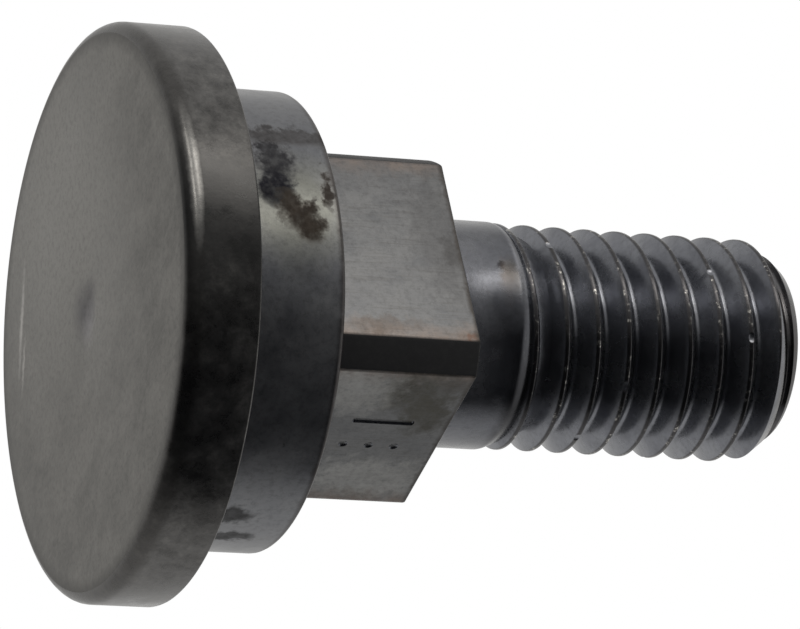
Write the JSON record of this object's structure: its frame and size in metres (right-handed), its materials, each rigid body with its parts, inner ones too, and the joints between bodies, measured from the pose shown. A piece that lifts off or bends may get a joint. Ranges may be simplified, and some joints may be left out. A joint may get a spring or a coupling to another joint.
{
  "type": "blade bolt",
  "caption": "Forged blade bolt: flat round head, round collar, square neck and a right-hand coarse thread with a chamfered tip.",
  "frame": {"origin": "centre of the flat outer face of the head, which the bolt stands on", "axes": "+Z along the bolt from the head to the thread's tip; +X and +Y square to the flats of the neck"},
  "size_m": [0.03, 0.03, 0.0379],
  "materials": {
    "black_steel": "black oxide over forged steel, satin, worn bright at the edges"
  },
  "bodies": {
    "root": {"blade_bolt": "black_steel"}
  },
  "joints": []
}
